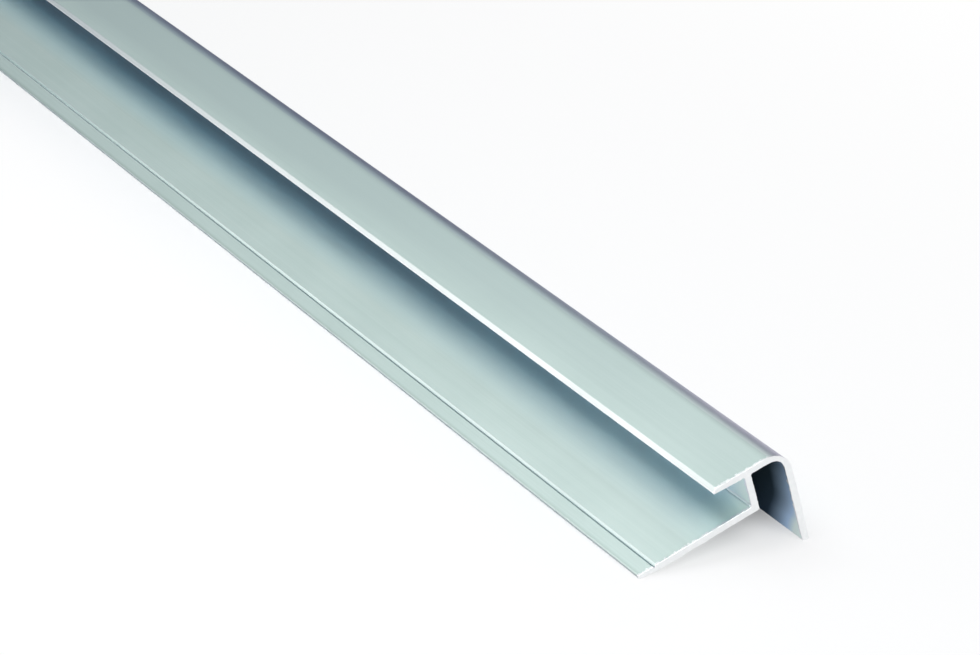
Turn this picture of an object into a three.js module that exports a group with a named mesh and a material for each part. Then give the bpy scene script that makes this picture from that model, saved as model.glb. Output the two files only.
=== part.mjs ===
// Aluminium insertion edge profile: one extruded bar with a constant section.
// A bottom flange and a short cover flange hold a floor board between them.
// The cover flange runs on past the web, turns over a rounded nose and hangs down as a leg.
// Millimetres, +Z up. The bar lies along X and rests on its lip and on the tip of its leg.
import * as THREE from "three";

// Stock length, cut square at both ends.
const LENGTH = 1000;

// Wall of the web, both flanges and the leg.
const WALL = 1.5;

// Board slot: clear height between the flanges, measured at the web.
const SLOT_HEIGHT = 7.6;
// Bottom flange, from the outer face of the web to the tip of the lip.
const FLANGE_REACH = 30.0;
// Cover flange, from the slot face of the web to its lower tip corner.
const COVER_REACH = 7.8;
// The underside of the cover flange climbs by this much towards its tip.
const COVER_LIFT = 0.4;
// The tip of the cover flange is bevelled back by this much at the top.
const COVER_BEVEL = 1.0;

// Clear width between the web and the leg.
const CHANNEL_WIDTH = 7.9;
// Leg, from the underside of the cover flange to the inner corner of its tip.
const LEG_DROP = 22.5;
// The tip of the leg slants, so its outer corner is this much lower than its inner one.
const LEG_TIP_SLANT = 0.5;
// Nose: the outer radius is softer than the wall alone would give, so the bend is its thinnest place.
const NOSE_INNER_RADIUS = 3.3;
const NOSE_OUTER_RADIUS = 5.7;

// The lip is thinned from below over this run.
const LIP_RUN = 4.4;
const LIP_THICKNESS = 0.85;
// Marking groove for the screws along the top of the bottom flange.
const GROOVE_FROM_TIP = 4.1;
const GROOVE_WIDTH = 1.0;
const GROOVE_DEPTH = 0.45;

// Corner radii left by the die.
const EDGE_RADIUS = 0.25;
const TIP_RADIUS = 0.15;
const ROOT_RADIUS = 0.45;

// Largest gap between an arc and the chords that stand for it.
const CHORD_ERROR = 0.004;

// A corner of the section: a point in the section plane and the radius that rounds it.
const corner = (across, up, radius = 0) => ({ at: new THREE.Vector2(across, up), radius });

// The arc that rounds a corner and touches both neighbouring sides.
function rounding(before, here, after) {
  const back = before.at.clone().sub(here.at).normalize();
  const ahead = after.at.clone().sub(here.at).normalize();
  const halfAngle = Math.acos(back.dot(ahead)) / 2;
  const inward = back.clone().add(ahead).normalize();
  const centre = here.at.clone().addScaledVector(inward, here.radius / Math.sin(halfAngle));
  const touch = here.radius / Math.tan(halfAngle);
  const start = here.at.clone().addScaledVector(back, touch).sub(centre);
  const turn = (Math.PI - 2 * halfAngle) * Math.sign(ahead.cross(back));
  return { centre, start, turn };
}

// Points along one corner: the corner itself if it is sharp, or its arc in even steps.
function cornerPoints(before, here, after) {
  if (here.radius === 0) {
    return [here.at.clone()];
  }
  const { centre, start, turn } = rounding(before, here, after);
  const chordTurn = 2 * Math.acos(1 - CHORD_ERROR / here.radius);
  const steps = Math.ceil(Math.abs(turn) / chordTurn);
  const origin = new THREE.Vector2();
  return Array.from({ length: steps + 1 }, (_, i) =>
    start.clone().rotateAround(origin, (turn * i) / steps).add(centre),
  );
}

// The section drawn flat, with the lower outer corner of the web at the origin.
function sectionCorners() {
  const slotTop = WALL + SLOT_HEIGHT;
  const top = slotTop + WALL;
  const legTip = slotTop - LEG_DROP;
  const legOuter = CHANNEL_WIDTH + WALL;
  const coverTip = -WALL - COVER_REACH;
  const groove = GROOVE_FROM_TIP - FLANGE_REACH;
  return {
    lipUnder: corner(-FLANGE_REACH, WALL - LIP_THICKNESS, EDGE_RADIUS),
    lipRoot: corner(LIP_RUN - FLANGE_REACH, 0),
    heel: corner(0, 0, EDGE_RADIUS),
    channelRoot: corner(0, slotTop, ROOT_RADIUS),
    noseInner: corner(CHANNEL_WIDTH, slotTop, NOSE_INNER_RADIUS),
    legTipInner: corner(CHANNEL_WIDTH, legTip, EDGE_RADIUS),
    legTipOuter: corner(legOuter, legTip - LEG_TIP_SLANT, EDGE_RADIUS),
    noseOuter: corner(legOuter, top, NOSE_OUTER_RADIUS),
    coverEdge: corner(coverTip + COVER_BEVEL, top, TIP_RADIUS),
    coverTip: corner(coverTip, slotTop + COVER_LIFT, TIP_RADIUS),
    coverRoot: corner(-WALL, slotTop, ROOT_RADIUS),
    slotRoot: corner(-WALL, WALL, ROOT_RADIUS),
    grooveRight: corner(groove + GROOVE_WIDTH / 2, WALL),
    grooveFloor: corner(groove, WALL - GROOVE_DEPTH),
    grooveLeft: corner(groove - GROOVE_WIDTH / 2, WALL),
    lipTop: corner(-FLANGE_REACH, WALL, EDGE_RADIUS),
  };
}

// Turn that brings the lip and the leg tip to the floor together.
// Their corners are rounded alike, so the floor is parallel to the line between the two centres.
function restingTurn(corners) {
  const lip = rounding(corners.lipTop, corners.lipUnder, corners.lipRoot).centre;
  const legTip = rounding(corners.noseInner, corners.legTipInner, corners.legTipOuter).centre;
  const footing = legTip.sub(lip);
  return -footing.angle();
}

// The outline of the section, turned as it rests and centred over its foot.
function restingOutline() {
  const corners = sectionCorners();
  const list = Object.values(corners);
  const outline = list.flatMap((here, i) =>
    cornerPoints(list.at(i - 1), here, list[(i + 1) % list.length]),
  );
  const origin = new THREE.Vector2();
  const turn = restingTurn(corners);
  outline.forEach((point) => point.rotateAround(origin, turn));

  const bounds = new THREE.Box2().setFromPoints(outline);
  const foot = new THREE.Vector2((bounds.min.x + bounds.max.x) / 2, bounds.min.y);
  outline.forEach((point) => point.sub(foot));
  return outline;
}

// Drawn in the XY plane and swept along Z, then set down with its length along X.
function buildProfile() {
  const bar = new THREE.ExtrudeGeometry(new THREE.Shape(restingOutline()), {
    depth: LENGTH,
    bevelEnabled: false,
    curveSegments: 1,
  });
  bar.translate(0, 0, -LENGTH / 2);
  const across = new THREE.Vector3(0, 1, 0);
  const up = new THREE.Vector3(0, 0, 1);
  const along = new THREE.Vector3(1, 0, 0);
  bar.applyMatrix4(new THREE.Matrix4().makeBasis(across, up, along));
  return bar;
}

const aluminium = new THREE.MeshStandardMaterial({
  color: new THREE.Color(0.78, 0.82, 0.81),
  roughness: 0.38,
  metalness: 1.0,
});

const profile = new THREE.Mesh(buildProfile(), aluminium);
profile.name = "edge_profile";

const part = new THREE.Group();
part.add(profile);

export default part;
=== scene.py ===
# %% [markdown]
# # An aluminium edge profile
# One length of extruded aluminium: a bottom flange, a web, a cover flange and a leg that hangs from
# a rounded nose. The solid comes from the CAD frame, already at its real size and resting on the
# floor. This lesson gives it the skin of a real bar: a satin surface drawn through a die, a
# screw-marking groove, and two saw-cut ends.

# %% Load the frame
import math
import bpy
from mathutils import Matrix, Vector, noise
from mathutils.bvhtree import BVHTree


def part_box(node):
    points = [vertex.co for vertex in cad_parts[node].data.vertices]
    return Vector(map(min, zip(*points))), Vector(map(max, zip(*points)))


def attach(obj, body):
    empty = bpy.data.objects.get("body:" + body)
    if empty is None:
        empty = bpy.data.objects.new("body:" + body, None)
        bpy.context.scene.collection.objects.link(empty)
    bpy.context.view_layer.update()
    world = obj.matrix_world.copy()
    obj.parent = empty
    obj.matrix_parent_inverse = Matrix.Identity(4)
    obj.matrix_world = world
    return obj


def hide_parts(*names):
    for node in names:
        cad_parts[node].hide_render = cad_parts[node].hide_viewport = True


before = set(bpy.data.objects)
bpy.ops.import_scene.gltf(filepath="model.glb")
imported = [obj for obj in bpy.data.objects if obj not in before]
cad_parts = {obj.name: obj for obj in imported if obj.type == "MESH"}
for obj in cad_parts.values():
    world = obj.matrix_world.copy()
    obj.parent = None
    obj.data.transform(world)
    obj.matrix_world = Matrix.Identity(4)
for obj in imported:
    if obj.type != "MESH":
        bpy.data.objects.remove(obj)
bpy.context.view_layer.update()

MM = 0.001
cad_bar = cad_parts["edge_profile"]
low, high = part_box("edge_profile")
print("bar, mm:", [round(side / MM, 2) for side in high - low])

# %% [markdown]
# ## The camera
# A long lens from well back keeps the long edges nearly parallel, so the eye reads the section as
# a drawing would show it. The camera is placed by a point that it looks at, a distance and two
# angles, because those are the numbers that a photographer would change. A slight roll finishes it.

# %% Place the camera
LENS = 131.34
AIM = Vector((398.29, 5.11, 8.0)) * MM
CAMERA_DISTANCE = 802.5 * MM
CAMERA_AZIMUTH = math.radians(-32.82)
CAMERA_ELEVATION = math.radians(24.17)
CAMERA_ROLL = math.radians(4.08)
NEAREST_SEEN = 50 * MM

towards_camera = Vector((
    math.cos(CAMERA_ELEVATION) * math.cos(CAMERA_AZIMUTH),
    math.cos(CAMERA_ELEVATION) * math.sin(CAMERA_AZIMUTH),
    math.sin(CAMERA_ELEVATION),
))
camera = bpy.data.objects.new("camera", bpy.data.cameras.new("camera"))
camera.data.lens = LENS
camera.data.clip_start = NEAREST_SEEN
camera.matrix_world = (
    Matrix.Translation(AIM + towards_camera * CAMERA_DISTANCE)
    @ towards_camera.to_track_quat("Z", "Y").to_matrix().to_4x4()
    @ Matrix.Rotation(CAMERA_ROLL, 4, "Z")
)
bpy.context.scene.collection.objects.link(camera)
bpy.context.scene.camera = camera
bpy.context.scene.view_settings.view_transform = "Standard"
print("camera at, m:", [round(c, 3) for c in camera.matrix_world.translation])

# %% [markdown]
# ## Helpers for the finishes
# A finish is a handful of small maps laid over each other: soft clouds, streaks along the bar, wear
# on the edges. Each could be wired by hand in the node editor. Short helpers do it here, because
# then a map takes a line or two and its numbers stand beside their use. All of them read the
# object's own coordinates in metres, so a map keeps its real size and stays fixed to the metal.

# %% Make and join nodes
def new_material(name):
    """An empty node material and its tree."""
    material = bpy.data.materials.new(name)
    material.use_nodes = True
    material.node_tree.nodes.clear()
    return material, material.node_tree


def add(tree, kind, inputs=(), **settings):
    """A node with its settings, and each input given as a value or as the socket that feeds it."""
    made = tree.nodes.new(kind)
    for key, value in settings.items():
        setattr(made, key, value)
    for key, value in dict(inputs).items():
        if isinstance(value, bpy.types.NodeSocket):
            tree.links.new(value, made.inputs[key])
        else:
            made.inputs[key].default_value = value
    return made


def combine(tree, operation, first, second):
    """Two numbers joined by a sum, product or other operation."""
    return add(tree, "ShaderNodeMath", {0: first, 1: second}, operation=operation).outputs[0]


def remap(tree, value, low_in, high_in, low_out=0.0, high_out=1.0, curve="LINEAR"):
    """The value moved from one range to another, and held inside it."""
    return add(tree, "ShaderNodeMapRange", {
        "Value": value,
        "From Min": low_in, "From Max": high_in,
        "To Min": low_out, "To Max": high_out,
    }, interpolation_type=curve).outputs["Result"]


def mix_colours(tree, share, first, second):
    """A colour between two others. Sockets 6 and 7 and output 2 are the node's colour ones."""
    return add(tree, "ShaderNodeMix", {0: share, 6: first, 7: second}, data_type="RGBA").outputs[2]


print("helpers to make and join nodes are ready")

# %% Read the metal
def patches(tree, size_mm, detail=2.0, shift=0.0):
    """Noise whose patches have the given size along x, y and z, in millimetres."""
    coords = add(tree, "ShaderNodeTexCoord").outputs["Object"]
    scaled = add(tree, "ShaderNodeMapping", {
        "Vector": coords,
        "Location": (shift, shift, shift),
        "Scale": [1 / (side * MM) for side in size_mm],
    })
    return add(tree, "ShaderNodeTexNoise", {
        "Vector": scaled.outputs[0], "Scale": 1.0, "Detail": detail,
    }).outputs["Fac"]


def measured(tree, name):
    """A value stored on the points of the skin."""
    return add(tree, "ShaderNodeAttribute", attribute_name=name).outputs["Fac"]


print("helpers to read the metal are ready")

# %% [markdown]
# ## Helpers for the studio
# A white studio could be had by lighting the floor until it clips, but that would burn out the
# metal too. It is better to whiten only what is looked at. One helper tells the rays that come
# from the eye, straight or by way of metal, from those that carry light. The other measures how
# far a place lies from the bar, so that the whitening can stop short of its shadow.

# %% Tell what is seen and how far off it is
def seen(tree):
    """1 for a ray that comes from the eye, or from it by way of metal or glass; 0 for the rest."""
    rays = add(tree, "ShaderNodeLightPath").outputs
    mirrored = combine(tree, "MAXIMUM", rays["Is Glossy Ray"], rays["Is Transmission Ray"])
    return combine(tree, "MAXIMUM", rays["Is Camera Ray"], mirrored)


def outside(tree, half_x, half_y):
    """How far a place lies outside a rectangle round the middle, in metres."""
    def vector(operation, first, second=(0.0, 0.0, 0.0)):
        return add(tree, "ShaderNodeVectorMath", {0: first, 1: second}, operation=operation).outputs

    place = vector("ABSOLUTE", add(tree, "ShaderNodeTexCoord").outputs["Object"])[0]
    beyond = vector("MAXIMUM", vector("SUBTRACT", place, (half_x, half_y, 0.0))[0])[0]
    return vector("LENGTH", beyond)["Value"]


print("helpers for the studio are ready")

# %% [markdown]
# ## The floor
# A plain pale sheet, large enough that its edge is out of sight from every side. The matt paint
# takes the bar's shadow. Away from the bar it is whitened, as a lit white table would be, for the
# eye and for the metal alike. Under the bar it isn't, so that the hollow stays dark.

# %% Lay the floor
FLOOR_HALF = 6.0
FLOOR_COLOUR = (0.90, 0.90, 0.90, 1.0)
SHADE_HALF = (478 * MM, 15 * MM)
SHADE_FADE = 25 * MM
NEAR_WHITENING = 0.75
FULL_WHITENING = 250 * MM

floor_material, tree = new_material("floor")
distance = outside(tree, *SHADE_HALF)
whitened = combine(
    tree, "ADD",
    remap(tree, distance, 0.0, SHADE_FADE, 0.0, NEAR_WHITENING),
    remap(tree, distance, SHADE_FADE, FULL_WHITENING, 0.0, 1.0 - NEAR_WHITENING),
)
paint = add(tree, "ShaderNodeBsdfDiffuse", {"Color": FLOOR_COLOUR})
white = add(tree, "ShaderNodeEmission", {"Strength": 1.0})
sheet = add(tree, "ShaderNodeMixShader", {
    0: combine(tree, "MULTIPLY", seen(tree), whitened), 1: paint.outputs[0], 2: white.outputs[0],
})
add(tree, "ShaderNodeOutputMaterial", {"Surface": sheet.outputs[0]})

floor_mesh = bpy.data.meshes.new("floor")
signs = [(-1, -1), (1, -1), (1, 1), (-1, 1)]
corners = [(x * FLOOR_HALF, y * FLOOR_HALF, 0) for x, y in signs]
floor_mesh.from_pydata(corners, [], [(0, 1, 2, 3)])
floor_mesh.materials.append(floor_material)
floor = bpy.data.objects.new("floor", floor_mesh)
bpy.context.scene.collection.objects.link(floor)
print("floor side, m:", 2 * FLOOR_HALF)

# %% [markdown]
# ## The light
# Bare metal shows what stands around it, so the room is most of its colour. One even white world
# would leave it flat. The world here is a dim dome, faintly blue below, where the hollows look, and
# paler overhead. Its lowest band is white for the eye and for the metal, as a cove is where it
# rises behind a white table.

# %% Light the dome
DOME = [
    (0.00, (0.10, 0.11, 0.20)),
    (0.30, (0.10, 0.11, 0.22)),
    (0.50, (0.10, 0.12, 0.16)),
    (0.75, (0.12, 0.13, 0.16)),
    (0.85, (0.25, 0.25, 0.25)),
    (1.00, (0.30, 0.30, 0.30)),
]
COVE_TOP = (0.05, 0.11)

world = bpy.data.worlds.new("studio")
bpy.context.scene.world = world
world.use_nodes = True
tree = world.node_tree
tree.nodes.clear()
towards = add(tree, "ShaderNodeTexCoord").outputs["Generated"]
upward = add(tree, "ShaderNodeSeparateXYZ", {0: towards}).outputs["Z"]
ramp = add(tree, "ShaderNodeValToRGB", {"Fac": upward})
stops = ramp.color_ramp.elements
while len(stops) < len(DOME):
    stops.new(0.5)
for stop, (height, colour) in zip(stops, DOME):
    stop.position = height
    stop.color = (*colour, 1.0)
dome = add(tree, "ShaderNodeBackground", {"Color": ramp.outputs["Color"]})
cove = add(tree, "ShaderNodeBackground", {"Color": (1.0, 1.0, 1.0, 1.0)})
room = add(tree, "ShaderNodeMixShader", {
    0: combine(tree, "MULTIPLY", seen(tree), remap(tree, upward, *COVE_TOP, 1.0, 0.0)),
    1: dome.outputs[0], 2: cove.outputs[0],
})
add(tree, "ShaderNodeOutputWorld", {"Surface": room.outputs[0]})
print("dome stops:", len(DOME))

# %% [markdown]
# ## The lamps
# Each lamp stands where one face mirrors it, which is found by reflecting the line of sight in that
# face. The wide back lamp gives the broad faces their sheen, and the low left one draws the line
# of light along the bevel. The near lamp hangs close over the cut end, so the bar darkens away
# from it. The right one rounds off the nose, and the key and the front lamp light the saw cut and
# the floor. The camera doesn't see the lamps. The metal does.

# %% Make a soft lamp
LIT_POINT = Vector((0.46, 0.0, 0.0))


def softbox(name, azimuth, elevation, distance, size, radiance, tint=(1.0, 1.0, 1.0)):
    """A soft lamp that faces a point near the cut end, from two angles in degrees."""
    azimuth, elevation = math.radians(azimuth), math.radians(elevation)
    outward = Vector((
        math.cos(elevation) * math.cos(azimuth),
        math.cos(elevation) * math.sin(azimuth),
        math.sin(elevation),
    ))
    lamp = bpy.data.lights.new(name, "AREA")
    lamp.shape = "RECTANGLE"
    lamp.size, lamp.size_y = size
    lamp.energy = radiance * math.pi * size[0] * size[1]
    lamp.color = tint
    holder = bpy.data.objects.new(name, lamp)
    holder.matrix_world = (
        Matrix.Translation(LIT_POINT + outward * distance)
        @ outward.to_track_quat("Z", "Y").to_matrix().to_4x4()
    )
    holder.visible_camera = False
    bpy.context.scene.collection.objects.link(holder)


print("lamps face, m:", [round(c, 3) for c in LIT_POINT])

# %% Place the lamps
# azimuth and elevation in degrees, distance and size in metres, radiance, tint
softbox("key_softbox", -20, 52, 1.3, (0.60, 0.60), 6.5)
softbox("near_softbox", -110, 60, 0.4, (0.30, 0.17), 4.3, (0.94, 0.98, 1.00))
softbox("left_softbox", -133, 15, 0.46, (0.30, 0.18), 2.5, (1.10, 0.98, 0.97))
softbox("front_softbox", 30, 30, 1.3, (0.80, 0.50), 3.0)
softbox("back_softbox", 176, 42, 1.4, (1.40, 0.80), 0.93, (0.92, 1.03, 0.96))
softbox("right_softbox", 108, 22, 0.75, (0.29, 0.23), 3.3)

# %% [markdown]
# ## The section, read from the frame
# The section is what the die drew: one closed outline of flats and arcs. It could be drawn again
# here from its sizes, but two drawings can drift apart. The cut end of the solid already holds
# it, so its rim is walked once, point to point, and the skin follows the same line.

# %% Read the section
FLAT_WITHIN = 0.001 * MM
DIGITS = 7


def end_rim(mesh, x_end):
    """The outline of the flat end at x_end, as (y, z) points in order around it."""
    sides = set()
    for face in mesh.polygons:
        corners = [mesh.vertices[i].co for i in face.vertices]
        if any(abs(c.x - x_end) > FLAT_WITHIN for c in corners):
            continue
        keys = [(round(c.y, DIGITS), round(c.z, DIGITS)) for c in corners]
        for here, after in zip(keys, keys[1:] + keys[:1]):
            if (after, here) in sides:  # a side shared by two faces lies inside, not on the rim
                sides.remove((after, here))
            else:
                sides.add((here, after))
    follow = dict(sides)
    start = min(follow)
    rim = [start]
    while follow[rim[-1]] != start:
        rim.append(follow[rim[-1]])
    return [Vector(point) for point in rim]


section = end_rim(cad_bar.data, high.x)
print("points around the section:", len(section))

# %% [markdown]
# ## Points for the skin
# The drawing has points only where it bends. The skin wants them along the flats too: the saw's
# burr is ragged at less than half a millimetre, and the finish is told apart place by place. So
# the same line is walked again in short steps, which adds points and moves none.

# %% Walk the section in short steps
PITCH = 0.22 * MM


def walk(outline, pitch):
    """The same closed outline with extra points, so that no side is longer than the pitch."""
    points = []
    for here, after in zip(outline, outline[1:] + outline[:1]):
        parts = max(1, math.ceil((after - here).length / pitch))
        points += [here.lerp(after, i / parts) for i in range(parts)]
    return points


line = walk(section, PITCH)
print("points along the skin:", len(line))

# %% [markdown]
# ## Zones of the section
# Blasting and anodising treat the open faces evenly. The zones below carry painted light and
# shade: painted shade in the hollow between web and leg and towards the root of the board slot,
# painted shade on one wall of the groove and a painted highlight on the other, painted shade over
# the middle of the cover, painted light and shade along the nose, and painted shade on the lip.
# Such zones could be painted by hand. Here they are measured: a zone is what can be seen from a
# point in its middle, and it fades with the distance from there, so it never bleeds through a wall.

# %% Measure the zones
ZONES = {  # y and z of the middle, then how far the full shade and its last trace reach, in mm
    "channel": (9.5, 15.9, 15.0, 24.0),
    "slot": (1.92, 13.38, 3.0, 14.0),
    "groove": (-17.435, 1.951, 0.25, 0.70),
    "groove_highlight": (-17.03, 2.09, 0.25, 0.40),
    "cover": (3.81, 25.49, 6.0, 12.0),
    "nose": (11.46, 21.81, 1.5, 4.2),
    "lip": (-21.3, 1.0, 0.5, 1.1),
}
SIGHT_SLACK = 0.05 * MM
solid = BVHTree.FromPolygons(
    [vertex.co for vertex in cad_bar.data.vertices],
    [face.vertices for face in cad_bar.data.polygons],
)


def shade(point, y, z, near, far):
    """How much a point of the skin belongs to a zone: 1 near its middle, 0 far off or unseen."""
    middle = Vector((y, z)) * MM
    way = point - middle
    hit = solid.ray_cast(Vector((0, *middle)), Vector((0, *way)))[3]
    if hit is None or hit < way.length - SIGHT_SLACK:
        return 0.0
    return max(0.0, min(1.0, (far * MM - way.length) / ((far - near) * MM)))


shades = {name: [shade(point, *zone) for point in line] for name, zone in ZONES.items()}
for name, shares in shades.items():
    print("points in the zone of the", name, "-", sum(share > 0 for share in shares))

# %% [markdown]
# ## Where the edges are
# Handling polishes the outer corners first, and they also carry a painted highlight; the roots
# carry painted shade. The turn of the line within a third of a millimetre finds them: a full turn
# to the left is a square outer edge, and one to the right is an inner root.

# %% Find the edges and roots
EDGE_REACH = 0.35 * MM
SQUARE = math.radians(90)
CLEAR_TURN = 0.3


def turn_near(outline, reach):
    """How sharply the outline turns close to each point: +1 at a square edge, -1 at a root."""
    count = len(outline)
    steps = [outline[(i + 1) % count] - outline[i] for i in range(count)]

    def heading(i, way):
        """The step that is reached by walking that far forwards (+1) or backwards (-1)."""
        gone = 0.0
        while gone < reach:
            gone += steps[i % count].length
            i += way
        return steps[(i - way) % count]

    turns = []
    for i in range(count):
        before, after = heading(i - 1, -1), heading(i, 1)
        turns.append(-before.angle_signed(after) / SQUARE)
    return [max(-1.0, min(1.0, turn)) for turn in turns]


edges = turn_near(line, EDGE_REACH)
print("points on outer edges:", sum(turn > CLEAR_TURN for turn in edges))
print("points in roots:", sum(turn < -CLEAR_TURN for turn in edges))

# %% [markdown]
# ## The saw's burr
# A saw never leaves a clean square rim. It pushes a thin burr over the edge, ragged along its
# crest and gone in places. A random height at each point would look like grit. So the height is
# read from two noises: a broad one says where the burr stands, and a fine one frays its crest.

# %% Raise the burr
BURR_HEIGHT = 0.15 * MM
BURR_PATCH = 1.9 * MM
BURR_TOOTH = 0.42 * MM
BURR_MEAN = 0.30
BURR_SWELL = 0.75
BURR_FRAY = 0.65


def burr(point, end):
    """How far the burr stands out at a point of the rim: nothing in places, a crest in others."""
    # The third coordinate of each noise gives the two ends different crests.
    broad = noise.noise(Vector((point.x / BURR_PATCH, point.y / BURR_PATCH, 7.0 * end)))
    fine = noise.noise(Vector((point.x / BURR_TOOTH, point.y / BURR_TOOTH, 3.0 + end)))
    return BURR_HEIGHT * max(0.0, BURR_MEAN + BURR_SWELL * broad + BURR_FRAY * fine)


crests = {end: [burr(point, end) for point in line] for end in (-1, 1)}
print("highest burr at each end, mm:", [round(max(crest) / MM, 3) for crest in crests.values()])

# %% [markdown]
# ## The bar
# The bar could keep its CAD mesh, but that has no burr, and its rim is sharper than a file leaves
# it. So the skin is a sweep of the section with a few extra rings at each end, where the line is
# pushed out by the burr and then turns in to the cut. The rings stay inside the box of the solid.

# %% Ring the ends
BURR_LENGTH = 0.75 * MM
RIM_ROUND = 0.11 * MM
MITRE_LIMIT = 0.5
END_PLAN = [  # distance from the cut, share of the burr, depth of the rounding, share of wear and painted highlight
    (1.5 * BURR_LENGTH, 0.0, 0.0, 0.0),
    (BURR_LENGTH, 0.0, 0.0, 0.0),
    (0.45 * BURR_LENGTH, 0.22, 0.0, 0.45),
    (0.55 * RIM_ROUND, 1.0, 0.0, 1.0),
    (0.18 * RIM_ROUND, 0.9, 0.30 * RIM_ROUND, 1.0),
    (0.0, 0.5, RIM_ROUND, 1.0),
]


def inset(outline, depths):
    """The closed outline moved inwards by a depth at each point, mitred at its corners."""
    moved = []
    for i, (here, depth) in enumerate(zip(outline, depths)):
        first = (here - outline[i - 1]).normalized()
        second = (outline[(i + 1) % len(outline)] - here).normalized()
        first_in = Vector((-first.y, first.x))
        mitre = (first_in + Vector((-second.y, second.x))).normalized()
        place = here + mitre * depth / max(MITRE_LIMIT, mitre.dot(first_in))
        place.x = max(low.y, min(high.y, place.x))
        place.y = max(low.z, min(high.z, place.y))
        moved.append(place)
    return moved


def end_rings(outline, x_end, end):
    """Rings from the plain bar to the cut at one end: x, outline and share of wear and painted
    highlight of each.
    """
    return [
        (x_end - end * back, inset(outline, [depth - share * c for c in crests[end]]), wear)
        for back, share, depth, wear in END_PLAN
    ]


bar_rings = end_rings(line, low.x, -1)[::-1] + end_rings(line, high.x, 1)
print("rings along the bar:", len(bar_rings))

# %% Sweep the bar
SMOOTH_BELOW = math.radians(30)


def sweep(name, rings):
    """The closed skin through the rings, with what the finishes need to know at each point."""
    count = len(rings[0][1])
    points = [(x, p.x, p.y) for x, ring, wear in rings for p in ring]
    faces = []
    for ring in range(len(rings) - 1):
        a, b = ring * count, (ring + 1) * count
        faces += [(a + i, a + (i + 1) % count, b + (i + 1) % count, b + i) for i in range(count)]
    caps = [tuple(range(count))[::-1], tuple(range((len(rings) - 1) * count, len(rings) * count))]
    mesh = bpy.data.meshes.new(name)
    mesh.from_pydata(points, [], faces + caps)
    mesh.shade_smooth()
    mesh.set_sharp_from_angle(angle=SMOOTH_BELOW)

    worn = [max(turn, wear) if wear else turn for x, ring, wear in rings for turn in edges]
    for label, values in shades.items():
        mesh.attributes.new(label, "FLOAT", "POINT").data.foreach_set("value", values * len(rings))
    mesh.attributes.new("edge", "FLOAT", "POINT").data.foreach_set("value", worn)
    return mesh


bar_mesh = sweep("edge_profile_bar", bar_rings)
bar = bpy.data.objects.new("edge_profile_bar", bar_mesh)
bpy.context.scene.collection.objects.link(bar)
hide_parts("edge_profile")
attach(bar, "root")
print("bar faces:", len(bar_mesh.polygons))

# %% [markdown]
# ## Satin aluminium
# The open faces are matt anodised: a pale, slightly green grey with a wide soft sheen. Close to, it
# is not even. The tone drifts in clouds of a centimetre or two, faint streaks run along the bar
# where the die drew them, and a fine grain lies over both. One colour with some noise would do
# from far off. Here the colour, the roughness and the bump are all drawn from the same maps, so
# that a streak which is paler is smoother too, as on real metal. The nose has a painted highlight
# near the ends and painted shade, dark and faintly violet, in between.

# %% Lay out the maps of the satin skin
CLOUD_SHARE = 0.6

satin, tree = new_material("satin_aluminium")
clouds = patches(tree, (26, 13, 13), detail=3.0)
streaks = patches(tree, (160, 1.3, 1.3), detail=3.0, shift=5.0)
die_lines = patches(tree, (60, 0.22, 0.22), detail=2.0, shift=11.0)
grain = patches(tree, (0.12, 0.09, 0.09), detail=1.0, shift=17.0)
drift = combine(tree, "MULTIPLY", clouds, CLOUD_SHARE)
tone = combine(tree, "ADD", drift, combine(tree, "MULTIPLY", streaks, 1.0 - CLOUD_SHARE))
place = add(tree, "ShaderNodeTexCoord").outputs["Object"]
axes = add(tree, "ShaderNodeSeparateXYZ", {0: place}).outputs
from_end = combine(tree, "SUBTRACT", high.x, combine(tree, "ABSOLUTE", axes["X"], 0.0))
print("maps of the satin skin:", len(tree.nodes))

# %% Colour the open faces
SATIN_DEEP = (0.650, 0.742, 0.712, 1.0)
SATIN_PALE = (0.695, 0.780, 0.752, 1.0)
TONE_RANGE = (0.38, 0.62)
LINE_RANGE = (0.35, 0.65)
LINE_CONTRAST = (0.992, 1.008)
COVER_PAINTED_SHADE = (0.600, 0.680, 0.665, 1.0)
COVER_SHADE_FADE = (0.0, 200 * MM)
COVER_SHADE_SHARES = (0.2, 1.3)  # above 1, the faint rim of the zone is filled too
NOSE_PAINTED_LIGHT = (0.830, 0.900, 0.900, 1.0)
NOSE_PAINTED_SHADE = (0.475, 0.535, 0.595, 1.0)
NOSE_SHADE_FADE = (20 * MM, 200 * MM)
NOSE_PAINTED_HIGHLIGHT = (0.980, 1.000, 1.000, 1.0)
NOSE_HIGHLIGHT_FADE = (20 * MM, 60 * MM)

skin = mix_colours(tree, remap(tree, tone, *TONE_RANGE), SATIN_DEEP, SATIN_PALE)
line_tone = remap(tree, die_lines, *LINE_RANGE, *LINE_CONTRAST)
skin = add(tree, "ShaderNodeVectorMath", {0: skin, 1: line_tone}, operation="MULTIPLY").outputs[0]
# Painted shade: the middle of the cover is darker, more so away from the ends.
cover_shade_share = remap(tree, from_end, *COVER_SHADE_FADE, *COVER_SHADE_SHARES)
cover_painted_shade = combine(tree, "MULTIPLY", measured(tree, "cover"), cover_shade_share)
skin = mix_colours(tree, cover_painted_shade, skin, COVER_PAINTED_SHADE)
# Painted light and shade on the nose: pale near the ends, dark and faintly violet further in.
nose_light_and_shade = mix_colours(tree, remap(tree, from_end, *NOSE_SHADE_FADE), NOSE_PAINTED_LIGHT, NOSE_PAINTED_SHADE)
nose_light_and_shade = mix_colours(tree, remap(tree, from_end, *NOSE_HIGHLIGHT_FADE), NOSE_PAINTED_HIGHLIGHT, nose_light_and_shade)
skin = mix_colours(tree, measured(tree, "nose"), skin, nose_light_and_shade)
print("open faces coloured, nodes:", len(tree.nodes))
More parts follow.
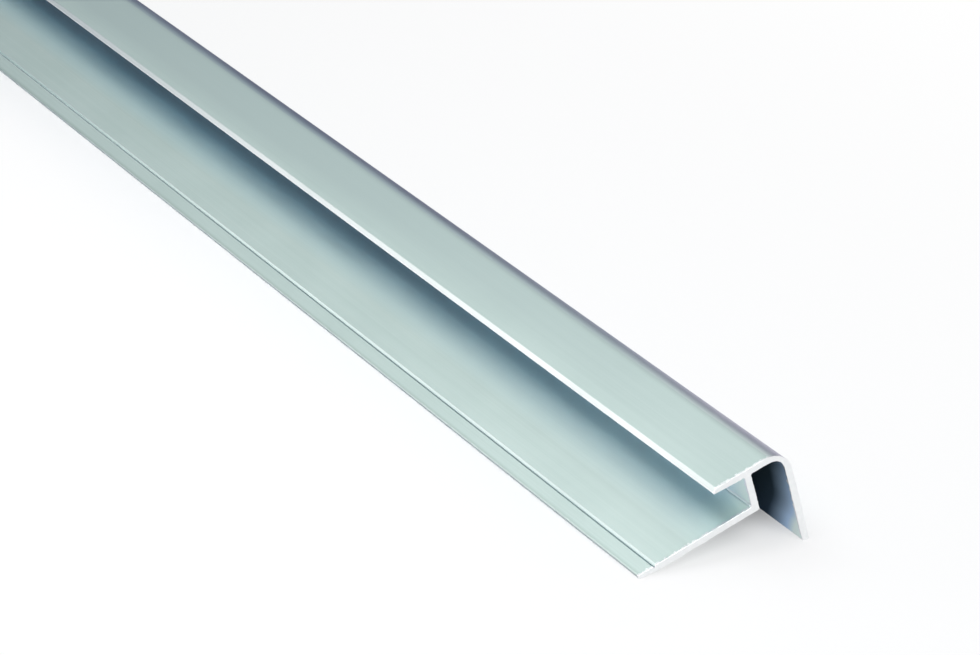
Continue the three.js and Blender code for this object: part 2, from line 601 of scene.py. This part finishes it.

# %% [markdown]
# ## The board slot
# The colour in the slot is painted shade: a little bluer, most of all far from the ends, and
# darker at its root. Just inside a cut end it is painted paler again, where light comes in. The
# zone that was measured before gives the place in the section, and the distance from the nearer end
# gives the place along the bar. The two are multiplied, so a shade can fade both ways.

# %% Colour the board slot
# Painted shade in the board slot: bluish, darker at the root, and paler again just inside the cut.
SLOT_SHADE_NEAR = (0.800, 0.960, 0.980, 1.0)
SLOT_SHADE_FAR = (0.670, 0.920, 1.000, 1.0)
SLOT_SHADE_FADE = (40 * MM, 240 * MM)
SLOT_ROOT_SHADE = (0.470, 0.590, 0.640, 1.0)
ROOT_ZONE = (0.76, 0.90)
ROOT_FADE = (4 * MM, 150 * MM)
ROOT_SHARES = (0.2, 1.0)
SLOT_MOUTH_LIGHT = (0.890, 1.000, 0.940, 1.0)
MOUTH_FADE = (2 * MM, 11 * MM)

in_slot = measured(tree, "slot")
slot_painted_shade = mix_colours(tree, remap(tree, from_end, *SLOT_SHADE_FADE), SLOT_SHADE_NEAR, SLOT_SHADE_FAR)
skin = mix_colours(tree, in_slot, skin, slot_painted_shade)
at_root = remap(tree, in_slot, *ROOT_ZONE)
root_painted_shade = combine(tree, "MULTIPLY", at_root, remap(tree, from_end, *ROOT_FADE, *ROOT_SHARES))
skin = mix_colours(tree, root_painted_shade, skin, SLOT_ROOT_SHADE)
mouth_painted_light = combine(tree, "MULTIPLY", in_slot, remap(tree, from_end, *MOUTH_FADE, 1.0, 0.0))
skin = mix_colours(tree, mouth_painted_light, skin, SLOT_MOUTH_LIGHT)
print("board slot coloured, nodes:", len(tree.nodes))

# %% [markdown]
# ## The hollow under the nose
# Light only gets in here from the ends, and further along the foot of the leg than up under the
# nose. Past that the colour is painted shade, dark and bluish. Shadow alone would leave it too
# pale, because metal mirrors the room. So the tone goes by the distance from the cut, from painted
# light at the mouth by way of blue to dark, and height counts as distance too. The same clouds that
# drift over the satin push the change to and fro, because a ruled line would look painted.

# %% Colour the hollow under the nose
# Painted light at the mouth of the hollow, then painted shade, bluish and then dark, deeper in.
HOLLOW_MOUTH_LIGHT = (0.850, 0.980, 0.930, 1.0)
HOLLOW_PAINTED_BLUE = (0.540, 0.730, 0.920, 1.0)
HOLLOW_PAINTED_SHADE = (0.065, 0.100, 0.115, 1.0)
MOUTH_END = (2.5 * MM, 5.0 * MM)
DEEP_START = (5.0 * MM, 12.0 * MM)
SLANT_HEIGHT = (-1.5 * MM, 10.0 * MM)
SLANT = (-0.8 * MM, 4.9 * MM)
CLOUD_RANGE = (0.3, 0.7)
UNEVENNESS = 0.5 * MM
HOLLOW_BORDER = (0.1, 0.4)

slant = remap(tree, axes["Z"], *SLANT_HEIGHT, *SLANT, curve="SMOOTHSTEP")
sway = remap(tree, clouds, *CLOUD_RANGE, -UNEVENNESS, UNEVENNESS)
from_mouth = combine(tree, "ADD", from_end, combine(tree, "ADD", slant, sway))
hollow_light_and_shade = mix_colours(tree, remap(tree, from_mouth, *MOUTH_END), HOLLOW_MOUTH_LIGHT, HOLLOW_PAINTED_BLUE)
hollow_light_and_shade = mix_colours(tree, remap(tree, from_mouth, *DEEP_START), hollow_light_and_shade, HOLLOW_PAINTED_SHADE)
in_hollow = remap(tree, measured(tree, "channel"), *HOLLOW_BORDER)
skin = mix_colours(tree, in_hollow, skin, hollow_light_and_shade)
print("hollow coloured, nodes:", len(tree.nodes))

# %% [markdown]
# ## Grooves, roots and edges
# Painted shade and light follow the shape. Inner roots get painted shade. The groove has a wall
# with painted shade and one with a painted highlight, both painted paler away from the ends. Hands
# and cartons rub the outer edges bright, partly as painted highlight, and the lip gets painted
# shade. A pale fringe of uneven width along the cut is partly a file's mark, partly painted
# highlight on the rim. Each could be a material of its own, with a hard border. Laid one over
# another in the same material, they fade into each other.

# %% Colour the roots and the groove
ROOT_PAINTED_SHADE = (0.420, 0.520, 0.540, 1.0)
ROOT_TURNS = (-0.30, -0.85)
GROOVE_PAINTED_SHADE = (0.340, 0.460, 0.410, 1.0)
GROOVE_SHADE_FADE = (0.0, 250 * MM)
GROOVE_SHADE_SHARES = (0.25, 0.0)
GROOVE_PAINTED_LIGHT = (0.950, 1.000, 0.980, 1.0)
GROOVE_LIGHT_FADE = (180 * MM, 280 * MM)
GROOVE_LIGHT_SHARES = (0.0, 0.7)
GROOVE_HIGHLIGHT_NEAR = (0.530, 0.665, 0.630, 1.0)
GROOVE_HIGHLIGHT_FAR = (0.690, 0.880, 0.800, 1.0)
GROOVE_HIGHLIGHT_FADE = (80 * MM, 260 * MM)

# Painted shade in the inner roots.
root = remap(tree, measured(tree, "edge"), *ROOT_TURNS)
skin = mix_colours(tree, root, skin, ROOT_PAINTED_SHADE)
# Painted shade on one wall of the groove, a painted highlight on the other, paler further from the
# ends.
in_groove = measured(tree, "groove")
groove_painted_shade = combine(tree, "MULTIPLY", in_groove, remap(tree, from_end, *GROOVE_SHADE_FADE, *GROOVE_SHADE_SHARES))
skin = mix_colours(tree, groove_painted_shade, skin, GROOVE_PAINTED_SHADE)
groove_painted_light = combine(tree, "MULTIPLY", in_groove, remap(tree, from_end, *GROOVE_LIGHT_FADE, *GROOVE_LIGHT_SHARES))
skin = mix_colours(tree, groove_painted_light, skin, GROOVE_PAINTED_LIGHT)
groove_highlight = mix_colours(tree, remap(tree, from_end, *GROOVE_HIGHLIGHT_FADE), GROOVE_HIGHLIGHT_NEAR, GROOVE_HIGHLIGHT_FAR)
skin = mix_colours(tree, measured(tree, "groove_highlight"), skin, groove_highlight)
print("roots and groove coloured, nodes:", len(tree.nodes))

# %% Colour the worn edges with their painted highlight, the lip and the fringe
EDGE_WEAR_AND_HIGHLIGHT = (0.910, 0.950, 0.940, 1.0)
EDGE_TURNS = (0.55, 0.95)
RUB_RANGE = (0.30, 0.70)
RUB_SHARES = (0.35, 1.0)
LIP_PAINTED_SHADE = (0.560, 0.655, 0.620, 1.0)
FILED_AND_HIGHLIT = (0.960, 0.970, 0.970, 1.0)
FRINGE_RANGE = (0.34, 0.68)
FRINGE_WIDTH = (0.10 * MM, 0.85 * MM)
FRINGE_SOFTNESS = 0.06 * MM

scuffs = patches(tree, (2.2, 0.6, 0.6), detail=2.0, shift=23.0)
rub = remap(tree, scuffs, *RUB_RANGE, *RUB_SHARES)
wear = combine(tree, "MULTIPLY", remap(tree, measured(tree, "edge"), *EDGE_TURNS), rub)
# Painted shade over the lip, in place of its edge's highlight.
lip_shade = measured(tree, "lip")
wear = combine(tree, "MULTIPLY", wear, combine(tree, "SUBTRACT", 1.0, lip_shade))
# The outer edges are worn bright, and part of that brightness is a painted highlight.
skin = mix_colours(tree, wear, skin, EDGE_WEAR_AND_HIGHLIGHT)
skin = mix_colours(tree, lip_shade, skin, LIP_PAINTED_SHADE)
# A pale fringe along the cut: a file's mark, and partly a painted highlight on the rim.
strokes = patches(tree, (30, 0.8, 0.8), detail=5.0, shift=31.0)
fringe = remap(tree, strokes, *FRINGE_RANGE, *FRINGE_WIDTH)
past_fringe = combine(tree, "SUBTRACT", from_end, fringe)
filed_and_highlit = remap(tree, past_fringe, -FRINGE_SOFTNESS, FRINGE_SOFTNESS, 1.0, 0.0)
skin = mix_colours(tree, filed_and_highlit, skin, FILED_AND_HIGHLIT)
print("edges coloured, nodes:", len(tree.nodes))

# %% [markdown]
# ## The sheen of the satin
# Worn places are smoother, die lines stand in low relief, and the grain breaks up the sheen. At
# grazing angles an anodised film is darker and faintly violet, which shows along the nose. The
# metal shader has one colour for exactly that, so no angle has to be measured by hand.

# %% Finish the satin skin
EDGE_TINT = (0.25, 0.20, 0.33, 1.0)
SHEEN_RANGE = (0.35, 0.65)
SATIN_ROUGHNESS = (0.475, 0.425)
LINE_SPREAD = (0.3, 0.7)
LINE_ROUGHNESS = (0.015, -0.015)
WORN_ROUGHNESS = -0.10
RIDGE_SHARE = 0.5
GRAIN_SHARE = 0.3
RELIEF_STRENGTH = 0.10
RELIEF_HEIGHT = 0.02 * MM

rough = remap(tree, tone, *SHEEN_RANGE, *SATIN_ROUGHNESS)
rough = combine(tree, "ADD", rough, remap(tree, die_lines, *LINE_SPREAD, *LINE_ROUGHNESS))
rough = combine(tree, "ADD", rough, combine(tree, "MULTIPLY", wear, WORN_ROUGHNESS))
ridges = combine(tree, "MULTIPLY", die_lines, RIDGE_SHARE)
relief = combine(tree, "ADD", ridges, combine(tree, "MULTIPLY", grain, GRAIN_SHARE))
bump = add(tree, "ShaderNodeBump", {
    "Height": relief, "Strength": RELIEF_STRENGTH, "Distance": RELIEF_HEIGHT,
})
metal = add(tree, "ShaderNodeBsdfPrincipled", {
    "Base Color": skin, "Metallic": 1.0, "Roughness": rough, "Normal": bump.outputs[0],
    "Specular Tint": EDGE_TINT,
})
add(tree, "ShaderNodeOutputMaterial", {"Surface": metal.outputs[0]})
bar_mesh.materials.append(satin)
print("finish:", satin.name, "from", len(tree.nodes), "nodes")

# %% [markdown]
# ## The saw cuts
# Both ends are fresh metal. A fine-toothed circular saw leaves them paler than the skin, with
# shallow arcs about a third of a millimetre apart, all struck from the saw's far-off centre, and
# a few bolder streaks where a tooth stood proud. Cut into the mesh, the arcs would need a million
# faces. A sine of the distance from the saw's centre draws them in colour, gloss and bump alike.

# %% Finish the saw cuts
SAWN_DEEP = (0.86, 0.88, 0.88, 1.0)
SAWN_PALE = (0.97, 0.98, 0.98, 1.0)
SAWN_ROUGHNESS = (0.42, 0.32)
SAW_CENTRE = Vector((0.0, -0.075, 0.110))
TOOTH_PITCH = 0.34 * MM
SAW_SWAY = 0.5 * MM
PROUD_RANGE = (0.45, 0.70)
PROUD_SHARE = 0.4
MARK_STRENGTH = 0.35
MARK_HEIGHT = 0.03 * MM

sawn, tree = new_material("sawn_aluminium")
coords = add(tree, "ShaderNodeTexCoord").outputs["Object"]
from_saw = add(tree, "ShaderNodeMapping", {
    "Vector": coords, "Location": -SAW_CENTRE, "Scale": (0, 1, 1),
}).outputs[0]
radius = add(tree, "ShaderNodeVectorMath", {0: from_saw}, operation="LENGTH").outputs["Value"]
sway = remap(tree, patches(tree, (5, 5, 5), detail=2.0), 0.0, 1.0, -SAW_SWAY, SAW_SWAY)
turns = combine(tree, "MULTIPLY", combine(tree, "ADD", radius, sway), 2 * math.pi / TOOTH_PITCH)
arcs = remap(tree, combine(tree, "SINE", turns, 0.0), -1.0, 1.0)
proud = remap(tree, patches(tree, (9, 0.9, 0.9), detail=2.0, shift=3.0), *PROUD_RANGE)
fine = combine(tree, "MULTIPLY", arcs, 1.0 - PROUD_SHARE)
marks = combine(tree, "ADD", fine, combine(tree, "MULTIPLY", proud, PROUD_SHARE))
cut = mix_colours(tree, marks, SAWN_DEEP, SAWN_PALE)
bump = add(tree, "ShaderNodeBump", {
    "Height": marks, "Strength": MARK_STRENGTH, "Distance": MARK_HEIGHT,
})
metal = add(tree, "ShaderNodeBsdfPrincipled", {
    "Base Color": cut, "Metallic": 1.0, "Normal": bump.outputs[0],
    "Roughness": remap(tree, marks, 0.0, 1.0, *SAWN_ROUGHNESS),
})
add(tree, "ShaderNodeOutputMaterial", {"Surface": metal.outputs[0]})
bar_mesh.materials.append(sawn)
end_faces = bar_mesh.polygons[-2:]
for face in end_faces:
    face.material_index = len(bar_mesh.materials) - 1
print("finish:", sawn.name, "from", len(tree.nodes), "nodes")
